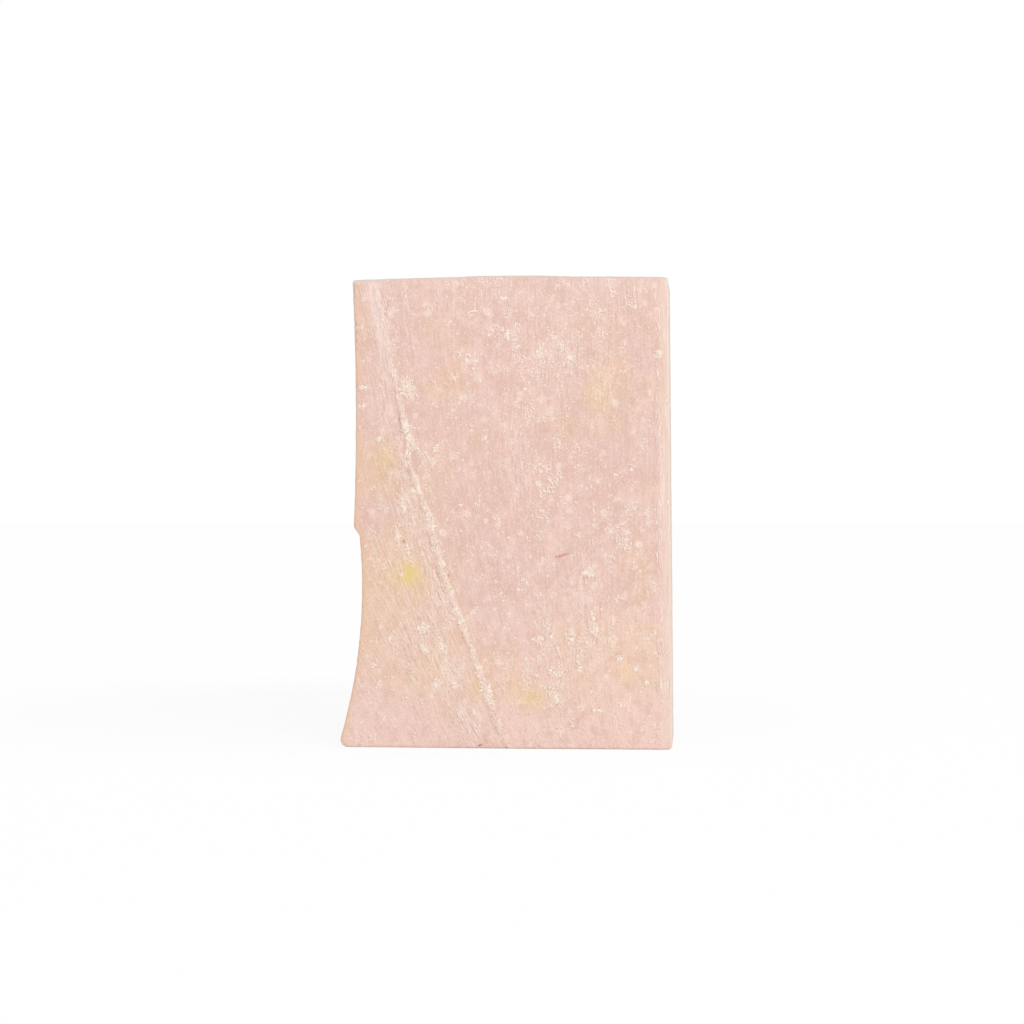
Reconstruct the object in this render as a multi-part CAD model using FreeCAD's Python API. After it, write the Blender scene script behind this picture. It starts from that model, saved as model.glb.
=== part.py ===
"""A hand-cut bar of soap, standing on one short side.

The bar is a slice of a poured loaf, so it is one solid. Its outline is the loaf's section, seen from
the front: the straight right side lay on the mould's floor, and the left side was the loaf's open top,
with a flared foot, a shallow waist and a small step above it. The front and back are the two cuts.
The front cut was scraped along its left part. The scrape ends at a slanting arc, where the knife left
a low burr, and the right front edge was pared to a narrow bevel.

Millimetres, +Z up. The front faces -Y. The origin is the middle of the base, on the floor.
"""

import FreeCAD
import Part

import math
import os

# The slice
bar_height = 85.0
bar_thickness = 25.0  # over the burr, which stands proud of the front cut
cut_edge_radius = 0.45  # both cuts' edges, softened by handling

# The right side, which was the loaf's base, and leans in towards the top
side_lean = 0.7
toe_radius = 0.7
top_right_radius = 0.6

# The foot and the waist, one hollow arc whose narrowest place is the waist
foot_width = 60.5
foot_flare = 4.5
waist_width = foot_width - foot_flare
waist_height = 29.0
heel_radius = 1.4

# The step above the waist, and the nearly straight shoulder over it
step_low = 38.2
step_high = 39.8
step_radius = 0.7
shoulder_low_width = waist_width + 1.5
shoulder_mid_width = waist_width + 1.1
shoulder_top_width = waist_width + 1.7
top_left_radius = 0.6

# The top, cut by hand: low at both corners and a little proud along one stretch
left_corner_drop = 0.6
right_corner_drop = 0.45
proud_height = 0.25
proud_from_side = 0.6 * foot_width  # distances to the left of the right side's foot
proud_to_side = 0.36 * foot_width
proud_fall = 2.6

# The scrape's arc, through three places on the front: its ends at the top and the floor, and a middle
arc_top_from_side = 0.9 * foot_width
arc_mid_from_side = 0.709 * foot_width
arc_floor_from_side = 0.479 * foot_width
arc_mid_height = 0.448 * bar_height
scrape_depth_at_arc = 0.1
scrape_depth_at_side = 0.55

# The burr along that arc
burr_width = 1.4
burr_crest = 0.5
burr_height = 0.3

# The pared bevel of the right front edge
bevel_width = 1.9
bevel_depth = 0.75

CUT_FRONT = -bar_thickness / 2 + burr_height
CUT_BACK = bar_thickness / 2
REACH = foot_width  # how far the cutting shapes run out past the bar


def across(from_side, height, y=0.0):
    """A point at a distance to the left of the right side's foot, at a height above the floor."""
    return FreeCAD.Vector(-from_side, y, height)


def arc(first, middle, last):
    return Part.Arc(first, middle, last).toShape()


def foot_arc_width(height):
    """The width of the bar on the foot's arc, whose centre is level with the waist."""
    flare = foot_width - waist_width
    radius = (flare**2 + waist_height**2) / (2 * flare)
    return waist_width + radius - math.sqrt(radius**2 - (height - waist_height) ** 2)


def top_edge(left, right):
    """The hand-cut top, from the left corner to the right one, a curve that its poles hold in."""
    level = bar_height - proud_height
    proud_middle = (proud_from_side + proud_to_side) / 2
    poles = [
        left,
        across(0.8 * shoulder_top_width, level),
        across(proud_from_side + proud_fall, level),
        across(proud_from_side, bar_height),
        across(proud_middle + proud_fall, bar_height),
        across(proud_middle - proud_fall, bar_height),
        across(proud_to_side, bar_height),
        across(proud_to_side - proud_fall, level),
        across(0.2 * shoulder_top_width, level),
        right,
    ]
    curve = Part.BSplineCurve()
    curve.buildFromPoles(poles)
    return curve.toShape()


def outline():
    """The loaf's section with sharp corners, and those corners with the radius that each gets."""
    toe = across(0, 0)
    heel = across(foot_width, 0)
    step_foot = across(foot_arc_width(step_low), step_low)
    step_head = across(shoulder_low_width, step_high)
    top_left = across(shoulder_top_width, bar_height - left_corner_drop)
    top_right = across(side_lean, bar_height - right_corner_drop)
    foot_middle = step_low / 2
    shoulder_middle = (step_high + top_left.z) / 2
    edges = [
        Part.makeLine(toe, heel),
        arc(heel, across(foot_arc_width(foot_middle), foot_middle), step_foot),
        Part.makeLine(step_foot, step_head),
        arc(step_head, across(shoulder_mid_width, shoulder_middle), top_left),
        top_edge(top_left, top_right),
        Part.makeLine(top_right, toe),
    ]
    corners = [
        (toe, toe_radius),
        (heel, heel_radius),
        (step_foot, step_radius),
        (step_head, step_radius),
        (top_left, top_left_radius),
        (top_right, top_right_radius),
    ]
    return Part.Face(Part.Wire(edges)), corners


def edge_at(solid, corner):
    """The solid's edge that runs from front to back through a corner of the outline."""
    for edge in solid.Edges:
        ends = [vertex.Point for vertex in edge.Vertexes]
        if len(ends) == 2 and all(abs(end.x - corner.x) + abs(end.z - corner.z) < 1e-4 for end in ends):
            return edge
    raise ValueError("no edge runs through that corner")


def blank():
    """The slice with its rounded corners and softened cuts, before the front is worked."""
    face, corners = outline()
    face.translate(FreeCAD.Vector(0, CUT_FRONT, 0))
    solid = face.extrude(FreeCAD.Vector(0, CUT_BACK - CUT_FRONT, 0))
    for corner, radius in corners:
        solid = solid.makeFillet(radius, [edge_at(solid, corner)])
    cuts = [
        edge
        for edge in solid.Edges
        if all(abs(v.Y - CUT_FRONT) < 1e-6 for v in edge.Vertexes)
        or all(abs(v.Y - CUT_BACK) < 1e-6 for v in edge.Vertexes)
    ]
    return solid.makeFillet(cut_edge_radius, cuts)


def scrape_line():
    """Three places on the scrape's arc, in the plane of the front cut."""
    return (
        across(arc_top_from_side, bar_height, CUT_FRONT),
        across(arc_mid_from_side, arc_mid_height, CUT_FRONT),
        across(arc_floor_from_side, 0, CUT_FRONT),
    )


def scrape():
    """What the scrape took off: a thin wedge left of the arc, deeper towards the left side."""
    top, middle, floor = scrape_line()
    above = top + (top - middle)
    below = floor + (floor - middle)
    far_above = FreeCAD.Vector(above.x - REACH, CUT_FRONT, above.z)
    far_below = FreeCAD.Vector(above.x - REACH, CUT_FRONT, below.z)
    region = Part.Face(
        Part.Wire(
            [
                Part.makeLine(far_below, far_above),
                Part.makeLine(far_above, above),
                Part.makeLine(above, top),
                arc(top, middle, floor),
                Part.makeLine(floor, below),
                Part.makeLine(below, far_below),
            ]
        )
    )
    region.translate(FreeCAD.Vector(0, -REACH, 0))
    prism = region.extrude(FreeCAD.Vector(0, 2 * REACH, 0))

    # The scraped plane is parallel to the arc's chord, and falls away to the left.
    chord = (top - floor).normalize()
    leftward = FreeCAD.Vector(-chord.z, 0, chord.x)
    fall = (scrape_depth_at_side - scrape_depth_at_arc) / (waist_width - arc_mid_from_side)
    start = middle + FreeCAD.Vector(0, scrape_depth_at_arc, 0)
    down_slope = leftward + FreeCAD.Vector(0, fall, 0)
    long, short = 2 * REACH, REACH
    reaches = [(-long, -short), (long, -short), (long, short), (-long, short)]
    corners = [start + chord * along - down_slope * back for along, back in reaches]
    plane = Part.Face(Part.makePolygon(corners + corners[:1]))
    in_front = plane.extrude(FreeCAD.Vector(0, -REACH, 0))
    return prism.common(in_front)


def burr():
    """The low ridge that the knife left along the arc, turned about the arc's own centre."""
    top, middle, floor = scrape_line()
    circle = arc(top, middle, floor).Curve
    outward = (middle - circle.Center).normalize()
    rise = FreeCAD.Vector(0, -burr_height, 0)
    sink = FreeCAD.Vector(0, scrape_depth_at_arc + burr_height, 0)
    corners = [
        middle - outward * (burr_width / 2) + sink,
        middle - outward * (burr_width / 2),
        middle - outward * (burr_crest / 2) + rise,
        middle + outward * (burr_crest / 2) + rise,
        middle + outward * (burr_width / 2),
        middle + outward * (burr_width / 2) + sink,
    ]
    section = Part.Face(Part.makePolygon(corners + corners[:1]))
    axis = FreeCAD.Vector(0, 1, 0)
    half_turn = math.degrees(bar_height / circle.Radius)
    section.rotate(circle.Center, axis, -half_turn)
    ring = section.revolve(circle.Center, axis, 2 * half_turn)
    # It ends on the flat of the front, short of the rounded edges at the floor and the top.
    clear = 2 * cut_edge_radius
    length = bar_height - left_corner_drop - 2 * clear
    between = Part.makeBox(2 * REACH, 2 * REACH, length, FreeCAD.Vector(-2 * REACH, -REACH, clear))
    return ring.common(between)


def bevel():
    """What the paring took off the right front edge, along the leaning side."""
    foot = across(0, 0, CUT_FRONT)
    along = across(side_lean, bar_height, CUT_FRONT) - foot
    foot = foot - along
    inward = FreeCAD.Vector(-bevel_width, 0, 0)
    deeper = FreeCAD.Vector(0, bevel_depth, 0)
    # The wedge runs on past both of its edges, so that it cuts clear of the bar's faces.
    corner = foot - inward - deeper
    across_face = foot + inward * 2 - deeper
    down_side = foot - inward + deeper * 2
    section = Part.Face(Part.makePolygon([corner, across_face, down_side, corner]))
    return section.extrude(along * 3)


def soap_bar():
    """The worked slice, moved so that the middle of its base is the origin."""
    solid = blank().cut(scrape()).cut(bevel()).fuse(burr()).removeSplitter().Solids[0]
    box = solid.optimalBoundingBox(False, False)
    solid.translate(FreeCAD.Vector(-box.Center.x, -box.Center.y, -box.ZMin))
    return solid


os.makedirs("parts", exist_ok=True)
bar = soap_bar()
bar.exportStep("parts/soap_bar.step")
print("valid", bar.isValid(), "volume cm3", round(bar.Volume / 1000, 2))
print(bar.optimalBoundingBox(False, False))
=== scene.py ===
"""A hand-cut bar of pale peach soap, standing on one short side on a white ground.

The file follows the bar as it is made: the slice itself, then the crumbs and the shavings that the knife
left on it, then the ground, the light and the camera. Lengths inside a section are millimetres in the
frame's axes, with x across the front, y from front to back and z up.
"""

import math

import bmesh
import bpy
import numpy as np
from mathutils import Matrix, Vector
from mathutils.bvhtree import BVHTree


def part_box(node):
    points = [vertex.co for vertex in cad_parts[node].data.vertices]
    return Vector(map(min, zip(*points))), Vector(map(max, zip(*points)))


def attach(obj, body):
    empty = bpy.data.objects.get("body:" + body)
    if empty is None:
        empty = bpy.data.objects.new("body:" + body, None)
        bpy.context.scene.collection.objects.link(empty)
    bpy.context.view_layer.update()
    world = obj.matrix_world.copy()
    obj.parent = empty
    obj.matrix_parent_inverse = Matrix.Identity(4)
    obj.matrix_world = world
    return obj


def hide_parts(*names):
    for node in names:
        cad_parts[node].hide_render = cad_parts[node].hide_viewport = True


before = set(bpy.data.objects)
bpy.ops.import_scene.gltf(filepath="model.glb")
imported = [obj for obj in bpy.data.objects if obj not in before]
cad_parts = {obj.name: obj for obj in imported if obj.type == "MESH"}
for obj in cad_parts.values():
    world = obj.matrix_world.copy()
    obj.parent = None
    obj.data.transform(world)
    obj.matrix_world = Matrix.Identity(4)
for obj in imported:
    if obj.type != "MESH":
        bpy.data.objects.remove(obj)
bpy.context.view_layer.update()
MM = 0.001

# The bar. A slice of a poured loaf of soap, cast in a lined wooden mould and cut across with a long knife.
# The front was scraped left of a slanting arc, and its right edge was pared. Its skin is satin, with drag
# streaks, pale undissolved grains, small curls of soap and a few yellow stains from the oils.

cad_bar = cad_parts["soap_bar"]
bar_low, bar_high = (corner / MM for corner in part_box("soap_bar"))
bar_width = bar_high.x - bar_low.x
bar_height = bar_high.z - bar_low.z
burr_proud = 0.3
cut_front = bar_low.y + burr_proud
cut_back = bar_high.y
cad_surface = BVHTree.FromPolygons(
    [vertex.co / MM for vertex in cad_bar.data.vertices],
    [tuple(face.vertices) for face in cad_bar.data.polygons],
)

across_cells = 196
upward_cells = 276
edge_radius = 0.45
edge_steps = 5
side_steps = 18


def grain(u, v, seed):
    """Smooth seeded noise between 0 and 1, with one cell for each unit of u and v."""
    table = np.random.default_rng(seed).random((256, 256))
    i = np.floor(u).astype(int)
    j = np.floor(v).astype(int)
    p = u - i
    q = v - j
    p = p * p * (3 - 2 * p)
    q = q * q * (3 - 2 * q)
    lower = table[i % 256, j % 256] * (1 - p) + table[(i + 1) % 256, j % 256] * p
    upper = table[i % 256, (j + 1) % 256] * (1 - p) + table[(i + 1) % 256, (j + 1) % 256] * p
    return lower * (1 - q) + upper * q


def rough(u, v, seed):
    """Three octaves of grain, between 0 and 1."""
    middling = grain(u * 2.1, v * 2.1, seed + 1)
    fine = grain(u * 4.3, v * 4.3, seed + 2)
    return (grain(u, v, seed) * 4 + middling * 2 + fine) / 7


def rise(low, high, value):
    """0 below low, 1 above high, and a smooth climb between them."""
    t = np.clip((value - low) / (high - low), 0, 1)
    return t * t * (3 - 2 * t)


def frame_ring():
    """Evenly spaced places round the front's bounding rectangle, anticlockwise from its lower left."""
    u = np.arange(across_cells) / across_cells
    v = np.arange(upward_cells) / upward_cells
    left, right = bar_low.x, bar_high.x
    return np.concatenate(
        [
            np.stack([left + bar_width * u, 0 * u], 1),
            np.stack([right + 0 * v, bar_height * v], 1),
            np.stack([right - bar_width * u, bar_height + 0 * u], 1),
            np.stack([left + 0 * v, bar_height * (1 - v)], 1),
        ]
    )


def cast_outline():
    """The slice's outline, where rays from the middle of the solid leave it."""
    middle = Vector((0, 0, bar_height / 2))
    places = []
    for x, z in frame_ring():
        towards = Vector((x, 0, z)) - middle
        hit = cad_surface.ray_cast(middle, towards.normalized())[0]
        places.append((hit.x, hit.z))
    return np.array(places)


def outward(ring):
    """The outline's outward direction at each of its places."""
    along = np.roll(ring, -1, 0) - np.roll(ring, 1, 0)
    along /= np.linalg.norm(along, axis=1, keepdims=True)
    return np.stack([along[:, 1], -along[:, 0]], 1)


def fill_ring(ring, columns, rows):
    """A grid of places inside a ring, blended from its four sides."""
    bottom = ring[: columns + 1]
    right = ring[columns : columns + rows + 1]
    top = ring[columns + rows : 2 * columns + rows + 1][::-1]
    left = np.concatenate([ring[2 * columns + rows :], ring[:1]])[::-1]
    u = np.linspace(0, 1, columns + 1)[None, :, None]
    v = np.linspace(0, 1, rows + 1)[:, None, None]
    sides = (1 - v) * bottom[None] + v * top[None] + (1 - u) * left[:, None] + u * right[:, None]
    lower = (1 - u) * (1 - v) * bottom[0] + u * (1 - v) * bottom[-1]
    upper = (1 - u) * v * top[0] + u * v * top[-1]
    return sides - lower - upper


# Where the knife's burr runs, from the floor to the top: (height, x, half width, strength).
burr_course = [
    (0.0, 1.1, 0.6, 0.6),
    (4.3, -1.1, 0.6, 0.8),
    (7.0, -2.2, 0.6, 0.9),
    (9.3, -2.9, 0.6, 1.0),
    (11.5, -3.6, 0.5, 0.6),
    (14.2, -4.7, 0.5, 0.9),
    (17.5, -5.9, 0.4, 0.4),
    (21.0, -7.3, 0.6, 0.6),
    (24.5, -8.6, 0.8, 0.75),
    (27.3, -9.7, 0.8, 0.8),
    (31.3, -11.0, 0.8, 0.85),
    (34.5, -11.9, 0.7, 0.8),
    (38.1, -12.9, 0.7, 1.0),
    (40.5, -13.5, 0.9, 1.0),
    (43.0, -14.1, 0.5, 0.9),
    (45.5, -15.1, 0.35, 0.7),
    (49.2, -16.5, 0.3, 0.75),
    (52.7, -17.6, 0.4, 0.9),
    (54.3, -17.1, 0.65, 1.0),
    (56.4, -17.4, 0.6, 1.0),
    (59.0, -18.2, 0.45, 0.8),
    (60.6, -18.5, 0.3, 0.45),
    (63.5, -19.1, 0.35, 0.45),
    (69.3, -20.4, 0.5, 0.35),
    (74.9, -21.5, 0.6, 0.3),
    (80.0, -22.5, 0.7, 0.3),
    (85.0, -23.4, 0.8, 0.3),
]
burr_heights, burr_places, burr_half_widths, burr_strengths = zip(*burr_course)


def burr_x(z):
    return np.interp(z, burr_heights, burr_places)


def cad_burr_x(z):
    """Where the solid's own burr has its crest at a height, from rays at its front."""
    tried = np.arange(bar_low.x + 1, 5, 0.15)
    hits = [cad_surface.ray_cast(Vector((x, -40, z)), Vector((0, 1, 0)))[0] for x in tried]
    crest = [hit.x for hit in hits if hit is not None and hit.y < cut_front - 0.2]
    return sum(crest) / len(crest) if crest else None


def cad_burr_line():
    heights = [z for z in np.arange(2.0, bar_height - 2, 4.0) if cad_burr_x(z) is not None]
    return heights, [cad_burr_x(z) for z in heights]


cad_burr_heights, cad_burr_places = cad_burr_line()


def cad_front(x, z):
    """The solid's front at a place, with its burr moved to where the photograph shows it."""
    shift = burr_x(z) - np.interp(z, cad_burr_heights, cad_burr_places)
    near = 1 - rise(1.5, 4.0, np.abs(x - burr_x(z)))
    depths = []
    for a, b in zip(np.ravel(x - shift * near), np.ravel(z)):
        hit = cad_surface.ray_cast(Vector((a, -40, b)), Vector((0, 1, 0)))[0]
        if hit is None:
            hit = cad_surface.find_nearest(Vector((a, cut_front, b)))[0]
        depths.append(hit.y)
    return np.array(depths).reshape(np.shape(x))


def drag(x, z):
    """Distance across the knife's drag marks, which follow the burr and stand upright far right of it."""
    follow = 1 - rise(0, 24, x - burr_x(z))
    fan = 1 + 0.45 * rise(4, 22, burr_x(z) - x) * (1 - z / bar_height)
    return x - follow * fan * (burr_x(z) - burr_x(bar_height / 2))


def patch(x, z, centre_x, centre_z, half_width, half_height, lean=0.0):
    """1 in the middle of a soft oval patch and 0 outside it. lean turns its top right, in degrees."""
    turn = math.radians(lean)
    a = (x - centre_x) * math.cos(turn) - (z - centre_z) * math.sin(turn)
    b = (x - centre_x) * math.sin(turn) + (z - centre_z) * math.cos(turn)
    return np.exp(-((a / half_width) ** 2 + (b / half_height) ** 2))


def leaned(x0, z0, side, along, lean):
    """The place so far to the side and so far along a leaning oval from its middle."""
    turn = math.radians(lean)
    x = x0 + side * math.cos(turn) + along * math.sin(turn)
    return x, z0 - side * math.sin(turn) + along * math.cos(turn)


def strongest(x, z, spots):
    """The strongest of some soft patches, each of them (x, z, half width, half height, strength)."""
    total = 0.0 * x
    for x0, z0, half_width, half_height, strength in spots:
        total = np.maximum(total, strength * patch(x, z, x0, z0, half_width, half_height))
    return total


# Cream curls and crumbs that lie in groups on the front: (x, z, half width, half height, lean).
crumb_groups = [
    (-17.5, 65.0, 1.3, 1.9, -12),
    (-18.6, 31.3, 0.4, 0.4, 0),
    (-25.4, 36.3, 0.3, 0.25, 0),
    (-26.7, 12.1, 0.2, 0.25, 0),
    (29.1, 79.4, 0.2, 0.3, 0),
    (29.2, 16.9, 0.2, 0.4, 0),
    (29.2, 11.5, 0.2, 0.9, 0),
    (29.0, 83.2, 0.3, 0.6, 0),
    (29.0, 62.5, 0.15, 0.7, 0),
    (29.2, 44.0, 0.15, 0.8, 0),
    (29.3, 24.5, 0.15, 0.5, 0),
    (-25.9, 75.8, 0.8, 0.2, 80),
    (-25.8, 64.9, 1.0, 0.35, 0),
    (-25.5, 61.7, 0.6, 0.3, 0),
    (-14.5, 17.8, 0.7, 1.4, -30),
    (-3.0, 9.4, 0.9, 1.8, -30),
    (-5.6, 6.2, 0.4, 0.4, 0),
    (-17.0, 15.0, 0.6, 0.5, 0),
    (-20.9, 19.5, 0.2, 0.5, 0),
    (-18.2, 8.9, 0.35, 0.2, 0),
    (-8.1, 14.4, 0.4, 0.2, 0),
    (-17.8, 57.2, 0.9, 1.4, -15),
    (-16.9, 55.0, 0.9, 1.4, -30),
    (-18.0, 51.3, 0.35, 0.9, -20),
    (-22.8, 55.7, 0.5, 0.5, 0),
    (-12.3, 53.9, 0.5, 0.6, 0),
    (-12.9, 51.2, 0.4, 0.8, 20),
    (-18.6, 43.9, 0.7, 1.6, -15),
    (-16.6, 46.0, 0.5, 0.9, -15),
    (-13.6, 40.3, 1.1, 1.4, -20),
    (-15.6, 46.2, 0.5, 0.5, 0),
    (-19.4, 38.3, 0.5, 1.5, -10),
    (8.7, 74.0, 0.5, 0.7, -30),
    (9.9, 72.3, 0.5, 0.8, -40),
    (11.5, 70.4, 0.9, 0.6, -50),
    (6.2, 71.2, 0.6, 0.9, 0),
    (0.6, 74.6, 0.7, 0.8, 30),
    (6.0, 47.6, 0.5, 0.5, 0),
    (16.6, 48.1, 0.4, 0.5, 0),
    (13.2, 38.5, 0.4, 0.5, 0),
    (16.1, 40.3, 0.4, 0.6, 0),
    (15.0, 31.6, 1.2, 0.8, 0),
    (6.0, 19.6, 1.1, 0.7, 10),
    (12.0, 21.2, 0.6, 0.7, 0),
    (16.3, 21.3, 0.7, 1.5, -10),
    (9.2, 9.3, 0.8, 2.0, -28),
    (9.3, 13.6, 1.3, 0.7, 0),
    (11.8, 20.2, 0.8, 1.2, 0),
    (15.7, 23.9, 0.3, 1.3, -20),
    (13.4, 14.4, 0.4, 0.5, 0),
    (16.0, 7.0, 0.5, 0.4, 0),
    (-12.4, 11.5, 0.8, 1.2, 15),
    (-11.4, 18.3, 0.7, 1.5, -30),
    (-14.8, 21.6, 1.0, 0.9, -30),
    (-8.9, 11.4, 0.6, 0.9, 0),
    (27.6, 70.9, 0.6, 0.6, 0),
    (26.0, 63.8, 0.3, 0.5, 0),
    (8.6, 20.3, 0.35, 1.0, -10),
    (9.7, 17.5, 0.3, 1.0, -20),
    (13.2, 16.0, 0.25, 1.6, -5),
    (5.7, 13.1, 0.3, 0.3, 0),
    (12.1, 4.4, 0.35, 0.6, -20),
    (17.0, 7.0, 0.8, 0.4, 20),
    (20.5, 16.5, 0.4, 0.6, -30),
    (-6.3, 78.2, 0.6, 0.3, -20),
    (-5.0, 14.6, 0.3, 1.1, -20),
    (23.5, 14.4, 0.4, 0.4, 0),
    (25.4, 11.9, 0.5, 0.5, 0),
    (26.2, 20.5, 0.3, 0.3, 0),
    (-22.6, 11.9, 0.2, 0.2, 0),
    (-20.4, 12.8, 0.2, 0.2, 0),
    (-22.9, 6.3, 0.25, 0.25, 0),
    (-24.4, 2.1, 0.25, 0.2, 0),
    (-4.4, 81.9, 0.4, 0.4, 0),
    (-0.2, 80.9, 0.7, 0.4, 0),
]
# Scuffed places, where the drag marks are pale and torn: (x, z, half width, half height, lean, strength).
scuffs = [
    (-22.5, 79.0, 2.6, 8.5, -14, 0.5),
    (-21.5, 66.0, 2.2, 9.0, -12, 0.35),
    (-17.5, 45.0, 2.4, 7.0, -14, 0.6),
    (-12.6, 30.0, 1.6, 8.0, -18, 0.8),
    (-14.8, 21.5, 3.6, 3.6, -30, 0.8),
    (-10.8, 15.5, 3.2, 6.0, -28, 0.8),
    (-6.5, 5.5, 3.4, 5.5, -28, 0.8),
    (-18.0, 18.0, 4.0, 6.0, -28, 0.3),
    (-20.0, 31.0, 3.0, 8.0, -18, 0.35),
    (8.0, 20.0, 2.5, 9.0, -12, 0.45),
    (14.5, 27.0, 3.0, 9.0, -8, 0.4),
    (9.5, 70.0, 4.0, 7.0, -10, 0.35),
    (17.0, 66.0, 2.2, 5.0, -5, 0.45),
    (2.0, 55.0, 3.0, 9.0, -6, 0.25),
]
# Drifts, where thin flakes and specks crowd together: (x, z, half width, half height, strength).
flake_drifts = [
    (-5.6, 79.4, 4.5, 3.0, 0.8),
    (-1.0, 72.0, 5.0, 6.0, 0.6),
    (4.3, 69.0, 8.0, 7.0, 0.9),
    (10.0, 71.5, 4.5, 5.0, 1.0),
    (20.4, 80.6, 7.0, 3.0, 0.6),
    (17.0, 75.0, 5.0, 4.5, 0.7),
    (-9.0, 62.5, 6.0, 8.0, 0.5),
    (-11.9, 50.0, 4.5, 5.0, 0.2),
    (7.3, 49.0, 4.5, 7.5, 0.9),
    (-1.0, 34.0, 8.0, 8.0, 0.45),
    (19.0, 38.0, 7.0, 8.0, 0.95),
    (23.0, 27.0, 5.0, 6.0, 0.6),
    (11.4, 19.0, 7.0, 6.5, 1.0),
    (9.1, 10.5, 3.0, 6.0, 0.8),
    (-23.0, 55.5, 3.0, 4.0, 0.6),
    (-19.0, 41.0, 4.5, 7.0, 0.8),
    (-13.0, 20.0, 6.0, 7.0, 0.5),
    (-24.0, 16.0, 3.0, 4.0, 0.6),
]
# Peach clouds in the pink body: (x, z, half width, half height, strength).
peach_clouds = [
    (-20.0, 23.0, 9.0, 13.0, 1.6),
    (-21.0, 50.0, 6.0, 8.0, 0.8),
    (17.0, 13.0, 13.0, 10.0, 1.45),
    (19.0, 62.0, 8.0, 8.0, 0.6),
    (-6.0, 12.0, 11.0, 9.0, 1.2),
    (-16.0, 13.0, 9.0, 6.5, 1.4),
    (24.0, 28.0, 6.0, 8.0, 0.4),
    (-12.0, 66.0, 8.0, 9.0, 0.3),
    (-24.0, 78.0, 3.0, 6.0, 0.4),
]
# Yellow stains of the oils: (x, z, half width, half height, strength).
yellow_stains = [
    (-17.6, 31.2, 2.3, 2.2, 1.0),
    (-18.0, 31.0, 3.6, 3.0, 0.42),
    (5.0, 9.2, 2.6, 1.8, 0.55),
    (3.0, 10.0, 3.5, 2.5, 0.25),
    (16.5, 64.4, 1.9, 3.4, 0.3),
    (-21.6, 52.4, 1.3, 2.2, 0.4),
    (21.7, 13.9, 1.1, 1.8, 0.4),
    (-13.0, 15.5, 2.6, 2.8, 0.25),
    (-4.6, 11.6, 1.5, 3.0, 0.3),
    (-15.0, 43.0, 6.0, 9.0, 0.08),
]
# Reddish dark marks beside the burr: red-brown spots, and painted shade in small cracks and steps: (x, z,
# half width, half height, lean).
red_hollows = [
    (-19.0, 64.5, 0.16, 2.1, -8),
    (-19.0, 58.6, 0.16, 1.7, -8),
    (-10.3, 31.2, 0.25, 0.7, -20),
    (-11.7, 25.2, 0.3, 0.5, -20),
    (-18.3, 37.2, 0.35, 0.6, -35),
    (10.2, 34.7, 0.3, 1.7, 75),
    (-12.2, 36.0, 0.15, 1.4, -15),
    (-11.3, 28.5, 0.15, 1.6, -18),
]
# Dark brown marks on the foot's edge, painted as the shade of its small chips: (x, z, radius).
chip_shade_marks = [(-4.7, 0.5, 0.25), (-4.2, 0.7, 0.25), (0.3, 0.15, 0.25), (10.3, 0.1, 0.2), (13.7, 0.1, 0.2)]
# Fine level scratches on the right: (x from, x to, z).
level_scratches = [
    (12.2, 25.3, 38.5),
    (18.3, 24.0, 36.5),
    (20.8, 25.4, 53.0),
    (21.0, 24.0, 29.3),
    (22.4, 25.0, 75.8),
]
# Chips out of the front's edge: (x, z, radius, depth).
edge_chips = [(29.4, 79.2, 0.6, 0.3), (29.9, 6.7, 0.6, 0.35), (-4.5, 0.0, 0.7, 0.3), (0.3, 0.0, 0.4, 0.2)]


def ridge(x, z):
    """How far the burr's fibres cover the front, from 0 to 1."""
    wander = 0.5 * (rough(z / 1.3, z * 0, 5) - 0.5)
    half_width = np.interp(z, burr_heights, burr_half_widths) * (0.7 + 0.6 * rough(z / 0.9, z * 0 + 7, 9))
    strength = np.interp(z, burr_heights, burr_strengths)
    return strength * np.exp(-(((x - burr_x(z) - wander) / half_width) ** 2))


def cream(x, z):
    """How far crumbs and curls cover the front, from 0 to 1."""
    total = ridge(x, z) * (0.55 + 0.45 * rise(0.36, 0.58, rough(z / 0.9, x / 2.0, 111)))
    for x0, z0, group_width, group_height, lean in crumb_groups:
        total = np.maximum(total, 0.9 * patch(x, z, x0, z0, 1.2 * group_width, 1.2 * group_height, lean))
    return total


def scuffed(x, z):
    total = 0 * x
    for x0, z0, half_width, half_height, lean, strength in scuffs:
        total = np.maximum(total, strength * patch(x, z, x0, z0, half_width, half_height, lean))
    return total


def relief(x, z):
    """How far the worked skin stands out of the cut, in millimetres."""
    across = drag(x, z)
    scraped = rise(-0.5, 1.5, burr_x(z) - x)
    dragged = (rough(across / 0.6, z / 9, 11) - 0.5) * (0.03 + 0.05 * scraped)
    swell = (rough(x / 9, z / 12, 21) - 0.5) * 0.12
    lumps = (rough(x / 0.8, z / 0.8, 31) - 0.5) * 0.16 * cream(x, z)
    total = dragged + swell + lumps - 0.05
    for x0, z0, half_width, half_height, lean in red_hollows:
        total -= 0.12 * patch(x, z, x0, z0, half_width, half_height, lean)
    for start, end, z0 in level_scratches:
        groove = np.exp(-(((z - z0) / 0.2) ** 2))
        total -= 0.03 * groove * rise(start - 0.5, start, x) * rise(-end - 0.5, -end, -x)
    return total


def front_depth(x, z):
    """y of the finished front: the solid's, with its burr broken up and the relief added."""
    solid = cad_front(x, z)
    burr = np.clip(cut_front - solid, 0, None)
    kept = rise(0.2, 0.65, rough(x / 0.5, z / 0.9, 41)) * np.interp(z, burr_heights, burr_strengths)
    kept *= np.clip(np.interp(z, burr_heights, burr_half_widths) / 0.8, 0.3, 1)
    y = solid + burr * (1 - kept) - relief(x, z)
    return np.clip(y, bar_low.y + 0.01, None)


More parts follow.
